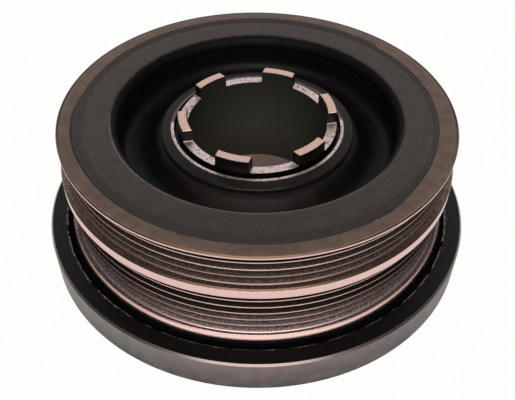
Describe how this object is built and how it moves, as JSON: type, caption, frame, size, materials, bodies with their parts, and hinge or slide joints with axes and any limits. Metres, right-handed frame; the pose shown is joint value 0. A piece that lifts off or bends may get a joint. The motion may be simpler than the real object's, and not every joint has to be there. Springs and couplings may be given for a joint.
{
  "type": "crankshaft pulley",
  "caption": "Decoupled crankshaft pulley with two poly-V belt tracks, a castellated driving hub in a black dish, and a rubber-mounted inertia ring at the back.",
  "frame": {"origin": "on the pulley's axis, in the plane of the inertia ring's rear face, on which the part stands", "axes": "+Z along the pulley's axis towards the dished front with the driving dogs; +X through the middle of one dog; -Y through the middle of one slot"},
  "size_m": [0.182, 0.182, 0.0621],
  "materials": {
    "hub_steel": "turned and milled steel, bright on the cut faces",
    "dish_paint": "black satin paint on pressed steel",
    "decoupling_rubber": "moulded rubber, dry and matt",
    "ring_steel": "turned steel, lightly rubbed",
    "bush_plastic": "black bearing plastic",
    "hub_casting": "cast iron with a thin black coat",
    "damper_rubber": "black rubber",
    "inertia_iron": "turned iron, black coat on the front face"
  },
  "bodies": {
    "root": {"hub": "hub_steel", "carrier_dish": "dish_paint", "decoupling_rubber": "decoupling_rubber", "belt_ring": "ring_steel", "slide_bush": "bush_plastic", "damper_hub": "hub_casting", "damper_rubber": "damper_rubber", "inertia_ring": "inertia_iron"}
  },
  "joints": []
}
